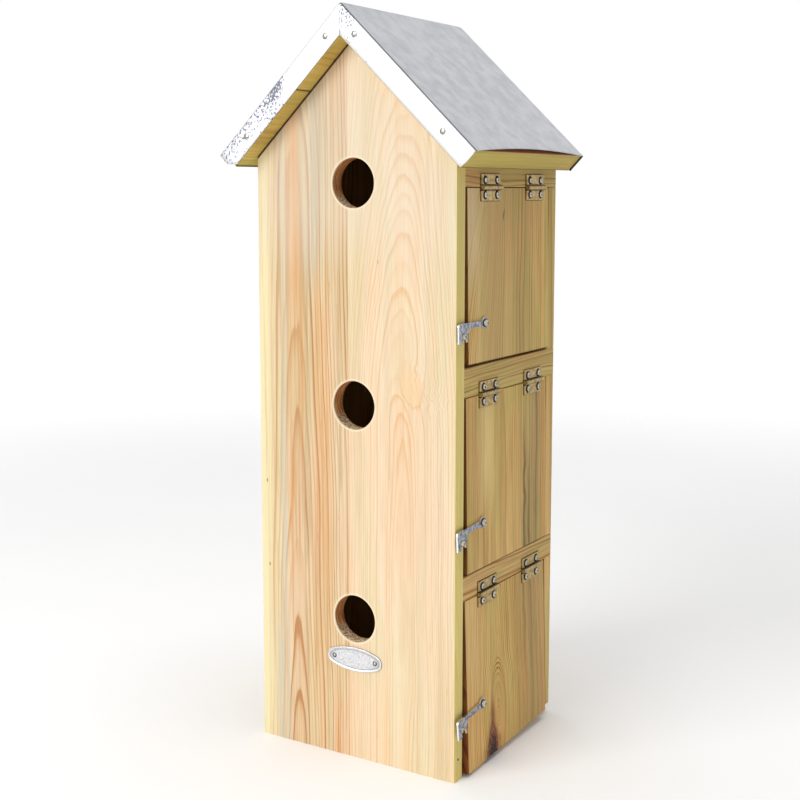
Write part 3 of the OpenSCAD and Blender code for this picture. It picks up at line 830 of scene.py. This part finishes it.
def eased(node, body, slot, finish, radius, segments=3, change=None):
    """A copy of a CAD node with its arrises rounded, which stands for the node."""
    bm = bmesh.new()
    bm.from_mesh(NODES[node].data)
    bmesh.ops.remove_doubles(bm, verts=bm.verts, dist=1e-6)
    bmesh.ops.dissolve_limit(bm, angle_limit=FLAT, verts=bm.verts, edges=bm.edges)
    if change:
        change(bm)
    sharp = [e for e in bm.edges if len(e.link_faces) == 2 and e.calc_face_angle() > ARRIS]
    bmesh.ops.bevel(bm, geom=sharp, offset=radius, offset_type="OFFSET", segments=segments,
                    profile=0.6, affect="EDGES", clamp_overlap=True)
    bmesh.ops.triangulate(bm, faces=[f for f in bm.faces if len(f.verts) > 4])
    piece = made_object(node + "_eased", bm, finish)
    smooth(piece)
    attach(piece, body)
    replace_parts(piece, node)


def bridge(bm, outer, inner):
    """A closed band of faces between two loops with as many corners."""
    for k in range(len(outer)):
        n = (k + 1) % len(outer)
        bm.faces.new([outer[k], outer[n], inner[n], inner[k]])


def lathe(name, steps, *profiles):
    """Solids of revolution about +Z, from (radius, height) pairs that start and end on the axis."""
    bm = bmesh.new()
    turns = [2 * math.pi * k / steps for k in range(steps)]
    for profile in profiles:
        rings = [[bm.verts.new((radius * math.cos(t), radius * math.sin(t), height))
                  for t in (turns if radius else [0.0])] for radius, height in profile]
        for low, high in zip(rings, rings[1:]):
            for k in range(steps):
                corners = [low[k % len(low)], low[(k + 1) % len(low)], high[(k + 1) % len(high)],
                           high[k % len(high)]]
                bm.faces.new(list(dict.fromkeys(corners)))
    bmesh.ops.recalc_face_normals(bm, faces=bm.faces)
    return to_mesh(name, bm)


def dome(radius, height, rim, base=0.0):
    """Profile of a round head: a short straight rim, then a cap."""
    ball = ((height - rim) ** 2 + radius ** 2) / (2 * (height - rim))
    cap = [(math.sqrt(max(ball ** 2 - (ball - (height - rim) + rise) ** 2, 0)), base + rim + rise)
           for rise in [(height - rim) * k / 7 for k in range(1, 7)]]
    return [(radius, base), (radius, base + rim)] + cap + [(0, base + height)]


THREAD_PITCH = 0.9 * MM


def screw_mesh(name, head_r, head_h, shank_r=0.0, stand=0.0, sunk=0.0):
    """A round-head screw with a cross recess. Its head starts stand above the surface at z = 0, and
    its threaded shank, if it shows one, ends sunk under it."""
    profile = [(0, -sunk)]
    if shank_r:
        turns = max(1, round((stand + sunk) / THREAD_PITCH))
        for k in range(turns):
            low = -sunk + (stand + sunk) * k / turns
            profile += [(shank_r * 0.78, low), (shank_r, low + (stand + sunk) / turns / 2)]
        profile += [(shank_r * 0.8, stand)]
    head = lathe(name + "_head", 36, profile + dome(head_r, head_h, head_h * 0.3, stand))
    cross = bmesh.new()
    arm, wide, top = head_r * 0.55, head_r * 0.22, stand + head_h
    for size in ((arm, wide), (wide, arm)):
        for vert in bmesh.ops.create_cube(cross, size=2.0)["verts"]:
            over = vert.co.z > 0
            taper = 1.0 if over else 0.45
            vert.co = Vector((vert.co.x * size[0] * taper, vert.co.y * size[1] * taper,
                              top + head_h if over else top - head_h * 0.55))
    cutter = to_mesh(name + "_cross", cross)
    body, tool = bpy.data.objects.new(name + "_body", head), bpy.data.objects.new(name + "_tool", cutter)
    for helper in (body, tool):
        bpy.context.scene.collection.objects.link(helper)
    cut = body.modifiers.new("recess", "BOOLEAN")
    cut.operation, cut.solver, cut.object, cut.use_self = "DIFFERENCE", "EXACT", tool, True
    graph = bpy.context.evaluated_depsgraph_get()
    result = bpy.data.meshes.new_from_object(body.evaluated_get(graph))
    for helper in (body, tool):
        bpy.data.objects.remove(helper)
    return result


def towards(direction, spin=0.0):
    """The turn that takes +Z to direction."""
    turn = Vector((0, 0, 1)).rotation_difference(Vector(direction)).to_matrix().to_4x4()
    return turn @ Matrix.Rotation(spin, 4, "Z")


def set_at(place, direction, spin=0.0):
    """Moves a mesh on the origin to a place, with its +Z towards direction."""
    return Matrix.Translation(place) @ towards(direction, spin)


def gathered(name, mesh, matrices, finish, body="house"):
    """One piece made of a mesh repeated at each matrix."""
    bm = bmesh.new()
    for matrix in matrices:
        before = len(bm.verts)
        bm.from_mesh(mesh)
        bm.verts.ensure_lookup_table()
        bmesh.ops.transform(bm, matrix=matrix, verts=bm.verts[before:])
    piece = made_object(name, bm, finish)
    smooth(piece)
    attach(piece, body)
    return piece


# ---- Boards ----

BOARD_EDGE = 0.7 * MM
DOOR_EDGE = 0.8 * MM
PLANK_EDGE = 0.6 * MM
LEAF_EDGE = 0.14 * MM
HOOK_EDGE = 0.5 * MM

for node, slot, finish in (
        ("front_board", "front_pine", front_pine), ("back_board", "plain_pine", plain_pine),
        ("left_wall", "plain_pine", wall_pine), ("bottom_floor", "plain_pine", floor_pine),
        ("lower_floor", "plain_pine", floor_pine), ("upper_floor", "plain_pine", floor_pine),
        ("top_rail", "side_pine", rail_pine), ("upper_rail", "side_pine", rail_pine),
        ("lower_rail", "side_pine", rail_pine), ("rear_strips", "side_pine", strip_pine)):
    eased(node, "house", slot, finish, BOARD_EDGE)
for storey in STOREYS:
    door = storey + "_door"
    eased(door, door, "door_pine", DOOR_PINE[storey], DOOR_EDGE)


def drawn_in(bm):
    """Draws a roof board's ends in, to leave room for the nail heads."""
    ends = [f(v.co.y for v in bm.verts) for f in (min, max)]
    for vert in bm.verts:
        if abs(vert.co.y - ends[0]) < 0.1 * MM:
            vert.co.y += NAIL_ROOM
        elif abs(vert.co.y - ends[1]) < 0.1 * MM:
            vert.co.y -= NAIL_ROOM


def cut_back(bm):
    """The left eave board also ends a little inside the sheet's edge."""
    drawn_in(bm)
    down = Vector((-COS, 0, -SIN))
    reach = max(v.co.dot(down) for v in bm.verts)
    for vert in bm.verts:
        if vert.co.dot(down) > reach - 1 * MM:
            vert.co -= down * EAVE_SET_BACK


for node in ("left_ridge_plank", "left_eave_plank", "right_ridge_plank", "right_eave_plank"):
    change = cut_back if node == "left_eave_plank" else drawn_in
    eased(node, "house", "roof_pine", roof_pine, PLANK_EDGE, change=change)


# ---- Roof sheet ----

SHEET_T = 0.6 * MM
BEND_R = 1.2 * MM
FOLD_H = 15 * MM
CORNER_CUT = 6 * MM
EAVE_BOW = {1: 2.3 * MM, -1: 1.2 * MM}
DENT = 0.10 * MM
SHEET_ROWS = 40


def slope_point(side, s, depth, y):
    """s down the slope from the ridge, depth under the sheet's outer face."""
    return Vector((side * (s * COS - depth * SIN), y, ROOF_HIGH.z - s * SIN - depth * COS))


def sheet_path():
    """(y, depth, share) along the sheet: up the front fold, over the top and down the rear one.
    share is how far the point is from the folds, 0 on a fold and 1 on the top."""
    fold = [(0.0, FOLD_H - (FOLD_H - BEND_R) * k / 5) for k in range(6)]
    bend = [(BEND_R * (1 - math.cos(t)), BEND_R * (1 - math.sin(t))) for t in
            [math.pi / 2 * k / 4 for k in range(1, 5)]]
    rise = [(y, depth, 0.0) for y, depth in fold + bend]
    length = SHEET_BACK - SHEET_FRONT
    top = [(BEND_R + (length - 2 * BEND_R) * k / 44, 0.0, 1.0) for k in range(1, 44)]
    return [(SHEET_FRONT + y, depth, share) for y, depth, share in rise + top] + \
           [(SHEET_BACK - y, depth, share) for y, depth, share in reversed(rise)]


def roof_sheet():
    """The zinc: two slopes that bow up a little at the eaves' middles, dented, bent at the ridge."""
    bm = bmesh.new()
    path = sheet_path()
    middle = (SHEET_FRONT + SHEET_BACK) / 2
    ridge = [bm.verts.new(slope_point(1, depth * RISE, depth, y)) for y, depth, _ in path]
    for side in (1, -1):
        grid = [ridge]
        for j in range(1, SHEET_ROWS + 1):
            line = []
            for y, depth, share in path:
                along = (y - middle) / (SHEET_BACK - middle)
                bow = EAVE_BOW[side] * max(0.0, 1 - along ** 2) * share
                end = SLOPE_LEN - bow * RISE
                if depth > FOLD_H - CORNER_CUT and y < middle:
                    end -= (depth - FOLD_H + CORNER_CUT) * (1.0 if side < 0 else 0.15)
                start = depth * RISE
                s = start + (end - start) * j / SHEET_ROWS
                lift = bow * max(0.0, (j / SHEET_ROWS - 0.72) / 0.28) ** 1.6
                dent = DENT * share * (0.5 + 0.5 * noise.noise(Vector((s * 22, y * 22, side * 5.0))))
                dent *= min(1.0, (1 - abs(along)) * 6) * min(1.0, j / 4)
                line.append(bm.verts.new(slope_point(side, s, depth + dent - lift, y)))
            grid.append(line)
        for upper, lower in zip(grid, grid[1:]):
            for k in range(len(path) - 1):
                corners = [upper[k], upper[k + 1], lower[k + 1], lower[k]]
                bm.faces.new(corners if side < 0 else corners[::-1])
    crease = [e for e in bm.edges if e.verts[0] in set(ridge) and e.verts[1] in set(ridge)]
    bmesh.ops.bevel(bm, geom=crease, offset=1.1 * MM, offset_type="OFFSET", segments=3, profile=0.5,
                    affect="EDGES", clamp_overlap=True)
    bmesh.ops.recalc_face_normals(bm, faces=bm.faces)
    piece = made_object("zinc_roof", bm, zinc)
    thick = piece.modifiers.new("thickness", "SOLIDIFY")
    thick.thickness, thick.offset, thick.use_even_offset = SHEET_T, -1.0, True
    smooth(piece)
    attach(piece, "house")
    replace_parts(piece, "roof_sheet")


roof_sheet()


# ---- Nails, plate and screws ----

NAIL_DEPTH = 7.5 * MM
NAIL_X = (11.5 * MM, 78.4 * MM)


def nail_places():
    """Where the roof's nails are, on the front and rear folds."""
    for y, face in ((SHEET_FRONT, -1), (SHEET_BACK, 1)):
        for side in (1, -1):
            for x in NAIL_X:
                s = (x + NAIL_DEPTH * SIN) / COS
                yield set_at(slope_point(side, s, NAIL_DEPTH, y), (0, face, 0))


def dark_disc(radius):
    """A thin dark disc: painted shadow round a nail or pin head, and on its own a brad's dark head."""
    return lathe("dark_disc", 32, [(0, -0.2 * MM), (radius * 0.9, -0.2 * MM), (radius, 0),
                                   (radius * 0.97, 0.07 * MM), (0, 0.07 * MM)])


def recess_shade(head_r, head_h, stand=0.0):
    """Profile of painted shade in the cross recess of a screw's head; the rest of it is inside the head."""
    low, high = stand + head_h * 0.4, stand + head_h * 0.72
    return [(0, low), (head_r * 0.53, low), (head_r * 0.53, high), (0, high)]


def screw_shade(head_r, head_h):
    """Painted shade in a screw's recess and round its foot, a little way up the head."""
    foot = head_r + 0.75 * MM
    return lathe("screw_shade", 32, recess_shade(head_r, head_h),
                 [(0, -0.2 * MM), (foot * 0.9, -0.2 * MM), (foot, 0), (foot - 0.1 * MM, 0.1 * MM),
                  (head_r + 0.12 * MM, head_h * 0.3), (head_r - 0.22 * MM, head_h * 0.49), (0, head_h * 0.3)])


nail = lathe("nail", 28, [(0, -0.3 * MM)] + dome(1.8 * MM, NAIL_ROOM, 0.12 * MM))
gathered("roof_nails", nail, nail_places(), screw_zinc)
# Painted shadow rings round the roof's nail heads
gathered("roof_nail_shadow", dark_disc(2.15 * MM), nail_places(), shade_and_brad_metal)


def oval_plate():
    """The plate: a raised rim round a flat, bare field."""
    low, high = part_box("oval_plate")
    middle, half_w, half_h = (low + high) / 2, (high.x - low.x) / 2, (high.z - low.z) / 2
    outline = [v.co for v in NODES["oval_plate"].data.vertices if v.co.y < middle.y]
    spots = {}
    for co in outline:
        angle = math.atan2((co.z - middle.z) / half_h, (co.x - middle.x) / half_w)
        spots[round(angle, 3)] = (co.x - middle.x, co.z - middle.z)
    ring = [spots[a] for a in sorted(spots)]
    thick = high.y - low.y
    steps = ((0.0, 0.0), (0.0, 0.75), (0.12, 0.93), (0.32, 1.0), (0.75, 1.0), (1.0, 0.93), (1.3, 0.62), (1.6, 0.55))
    bm = bmesh.new()
    loops = []
    for inset, rise in steps:
        loops.append([bm.verts.new((middle.x + x * (1 - inset * MM / half_w), high.y - thick * rise,
                                    middle.z + z * (1 - inset * MM / half_h))) for x, z in ring])
    for outer, inner in zip(loops, loops[1:]):
        bridge(bm, outer, inner)
    for share in (0.7, 0.35):
        loops.append([bm.verts.new((middle.x + (v.co.x - middle.x) * share, v.co.y - 0.02 * MM,
                                    middle.z + (v.co.z - middle.z) * share)) for v in loops[len(steps) - 1]])
        bridge(bm, loops[-2], loops[-1])
    bm.faces.new(loops[-1])
    bm.faces.new(loops[0][::-1])
    bmesh.ops.recalc_face_normals(bm, faces=bm.faces)
    piece = made_object("bare_plate", bm, plate_metal)
    smooth(piece)
    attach(piece, "house")
    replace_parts(piece, "oval_plate")
    pin = lathe("plate_pin", 24, [(0, -0.3 * MM)] + dome(1.15 * MM, 0.42 * MM, 0.1 * MM))
    places = [set_at((side * 17 * MM, high.y - thick * 0.57, middle.z), (0, -1, 0)) for side in (-1, 1)]
    gathered("plate_pins", pin, places, screw_zinc)
    # Painted shadow rings round the plate's pins
    gathered("plate_pin_shadow", dark_disc(1.8 * MM), places, shade_and_brad_metal)


oval_plate()

HINGE_HEAD_R, HINGE_HEAD_H = 2.25 * MM, 1.35 * MM
SCREW_SPREAD = 8.3 * MM
SCREW_OFF_PIN = 5 * MM
LEAF_T = 0.9 * MM
OUTWARD = (1, 0, 0)
hinge_screw = screw_mesh("hinge_screw", HINGE_HEAD_R, HINGE_HEAD_H)


def hinge_screw_places(storey, up):
    """Screw heads on the two leaves over (up = 1) or under (up = -1) a door's hinge line."""
    for k, (low, high) in enumerate(islands(storey + "_frame_leaves")):
        for side in (-1, 1):
            at = Vector((HALF_W + LEAF_T, (low.y + high.y) / 2 + side * SCREW_SPREAD,
                         HINGE_AT[storey].z + up * SCREW_OFF_PIN))
            yield set_at(at, OUTWARD, 0.5 + 1.3 * k + 0.9 * side + 0.7 * up)


# Hinge screws, with painted shade in their recesses and round their heads
for name, mesh, finish in (("hinge_screws", hinge_screw, screw_zinc),
                           ("hinge_screw_shade", screw_shade(HINGE_HEAD_R, HINGE_HEAD_H), shade_and_brad_metal)):
    gathered("frame_" + name, mesh, [m for s in STOREYS for m in hinge_screw_places(s, 1)], finish)
    for storey in STOREYS:
        places = [hung(storey) @ m for m in hinge_screw_places(storey, -1)]
        gathered(storey + "_door_" + name, mesh, places, finish, storey + "_door")


def painted_leaf_shadow(wide, tall, corner, thick):
    """A thin rounded dark plate under a hinge leaf: painted shadow, which shows as a dark line round the leaf."""
    bm = bmesh.new()
    loops = []
    for inset, height in ((0.0, 0.0), (thick, thick)):
        loop = []
        for k, (sx, sy) in enumerate(((1, 1), (-1, 1), (-1, -1), (1, -1))):
            for step in range(5):
                turn = math.pi / 2 * (k + step / 4)
                loop.append(bm.verts.new((sx * (wide / 2 - corner) + (corner - inset) * math.cos(turn),
                                          sy * (tall / 2 - corner) + (corner - inset) * math.sin(turn), height)))
        loops.append(loop)
    bridge(bm, *loops)
    bm.faces.new(loops[1])
    bm.faces.new(loops[0][::-1])
    return to_mesh("painted_leaf_shadow", bm)


def leaf_places(storey, up):
    """The middle of each leaf over (up = 1) or under (up = -1) a door's hinge line, facing out."""
    for low, high in islands(storey + "_frame_leaves"):
        at = Vector((HALF_W, (low.y + high.y) / 2, HINGE_AT[storey].z + up * (high.z - HINGE_AT[storey].z) / 2))
        yield Matrix.Translation(at) @ Matrix.Rotation(math.pi / 2, 4, "Z") @ Matrix.Rotation(math.pi / 2, 4, "X")


LEAF_LOW, LEAF_HIGH = islands("upper_frame_leaves")[0]
leaf_shade_mesh = painted_leaf_shadow(LEAF_HIGH.y - LEAF_LOW.y + 0.7 * MM, LEAF_HIGH.z - HINGE_AT["upper"].z + 0.7 * MM,
                   1.0 * MM, 0.08 * MM)
# Painted shadow lines round the hinge leaves
gathered("frame_leaf_shadow", leaf_shade_mesh, [m for s in STOREYS for m in leaf_places(s, 1)], shade_and_brad_metal)
for storey in STOREYS:
    places = [hung(storey) @ m for m in leaf_places(storey, -1)]
    gathered(storey + "_door_leaf_shadow", leaf_shade_mesh, places, shade_and_brad_metal, storey + "_door")

# A brad's head shows low on the front board's edge
brad = Vector((HALF_W, (FRONT_LOW.y + FRONT_HIGH.y) / 2, 15 * MM))
gathered("front_brad", dark_disc(0.9 * MM), [set_at(brad, OUTWARD)], shade_and_brad_metal)

for storey in STOREYS:
    for part, body in (("_frame_leaves", "house"), ("_door_leaves", storey + "_door")):
        eased(storey + part, body, "hinge_metal", hinge_metal, LEAF_EDGE, segments=2)
    NODES[storey + "_hinge_pins"].data.materials.clear()
    NODES[storey + "_hinge_pins"].data.materials.append(hinge_metal)

# The catch screws, with heads that stand off the board's edge
CATCH_HEAD_R, CATCH_HEAD_H, CATCH_STAND = 2.15 * MM, 2.6 * MM, 2 * MM
catch = screw_mesh("catch_screw", CATCH_HEAD_R, CATCH_HEAD_H, shank_r=1.3 * MM, stand=CATCH_STAND, sunk=3 * MM)
catch_places = [set_at((HALF_W, (low.y + high.y) / 2, (low.z + high.z) / 2), OUTWARD, 0.4 + k)
                for k, (low, high) in enumerate(islands("catch_screws"))]
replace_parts(gathered("catch_screw_set", catch, catch_places, screw_zinc), "catch_screws")
# Painted shade in the catch screws' recesses
catch_recess_shade = lathe("catch_recess_shade", 32, recess_shade(CATCH_HEAD_R, CATCH_HEAD_H, CATCH_STAND))
gathered("catch_screw_shade", catch_recess_shade, catch_places, shade_and_brad_metal)

# Each pivot screw stands in the ring of its hook's eye
PIVOT_HEAD_R, PIVOT_HEAD_H, PIVOT_STAND = 2.35 * MM, 2.2 * MM, 1.75 * MM
pivot = screw_mesh("pivot_screw", PIVOT_HEAD_R, PIVOT_HEAD_H, shank_r=1.5 * MM, stand=PIVOT_STAND, sunk=3 * MM)
# A dark disc round each pivot head and in its recess: painted shade
pivot_shadow_ring = lathe("pivot_shadow_ring", 36, recess_shade(PIVOT_HEAD_R, PIVOT_HEAD_H, PIVOT_STAND),
               [(0, 1.5 * MM), (2.9 * MM, 1.5 * MM), (2.95 * MM, 1.66 * MM), (2.7 * MM, PIVOT_STAND),
                (0, PIVOT_STAND)])
for k, storey in enumerate(STOREYS):
    place = [Matrix.Translation(PIVOT_AT[storey]) @ AJAR[storey] @ towards(OUTWARD, 0.3 + 1.1 * k)]
    head = gathered(storey + "_pivot_head", pivot, place, screw_zinc, storey + "_door")
    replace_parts(head, storey + "_pivot_screw")
    gathered(storey + "_pivot_shadow_ring", pivot_shadow_ring, place, shade_and_brad_metal, storey + "_door")
    eased(storey + "_hook", storey + "_hook", "bright_zinc", hook_zinc, HOOK_EDGE, segments=4)


# ---- Camera, light and floor ----

LENS_MM, SENSOR_MM, LENS_SHIFT = 59.35, 36, -0.06
EYE_AT = (0.49974, -0.81004, 0.40088)
EYE_TURN = (math.radians(90 - 7.053), 0, math.radians(31.876))
KEY_POWER = 38
TOP_POWER = 42
FILL = 0.32
GLOSS_LEFT = 0.84


def softbox(name, at, aim, size, power):
    """A square white light, turned to aim."""
    light = bpy.data.lights.new(name, "AREA")
    light.shape, light.size, light.energy = "SQUARE", size, power
    lamp = bpy.data.objects.new(name, light)
    lamp.location = at
    lamp.rotation_euler = (Vector(aim) - Vector(at)).to_track_quat("-Z", "Y").to_euler()
    bpy.context.scene.collection.objects.link(lamp)
    return lamp


def studio():
    """The camera, two lights, white surroundings and the floor."""
    camera = bpy.data.cameras.new("camera")
    camera.lens, camera.sensor_width, camera.shift_y = LENS_MM, SENSOR_MM, LENS_SHIFT
    eye = bpy.data.objects.new("camera", camera)
    eye.location, eye.rotation_euler = EYE_AT, EYE_TURN
    bpy.context.scene.collection.objects.link(eye)
    bpy.context.scene.camera = eye

    softbox("key", (-0.7, -2.2, 1.3), (0, 0, 0.28), 1.6, KEY_POWER)
    # The zinc would mirror the top light as plain white, and be lost against the background
    softbox("top", (0.1, 0.1, 2.9), (0, 0, 0.2), 2.2, TOP_POWER).visible_glossy = False

    # White surroundings for the camera, a little dimmer to the left for gloss, so that the two
    # slopes of the roof differ, and much dimmer as a light on matt faces
    world = bpy.data.worlds.new("studio")
    bpy.context.scene.world = world
    world.use_nodes = True
    net = Net(world.node_tree)
    plain = next(n for n in net.tree.nodes if n.type == "BACKGROUND")
    plain.inputs["Color"].default_value = (1, 1, 1, 1)
    ray = net.named(net.add("ShaderNodeLightPath"))
    gloss = net.split(net.coord("Generated"))[0].step(-0.6, 0.5, GLOSS_LEFT, 1.0)
    seen = ray["Is Glossy Ray"] * (gloss - 1.0) + 1.0
    net.feed(plain.inputs["Strength"], seen - ray["Is Diffuse Ray"] * (1 - FILL))

    bm = bmesh.new()
    bmesh.ops.create_circle(bm, cap_ends=True, segments=96, radius=FLOOR_R)
    made_object("studio_floor", bm, floor_material())
    bpy.context.scene.view_settings.view_transform = "Standard"


studio()
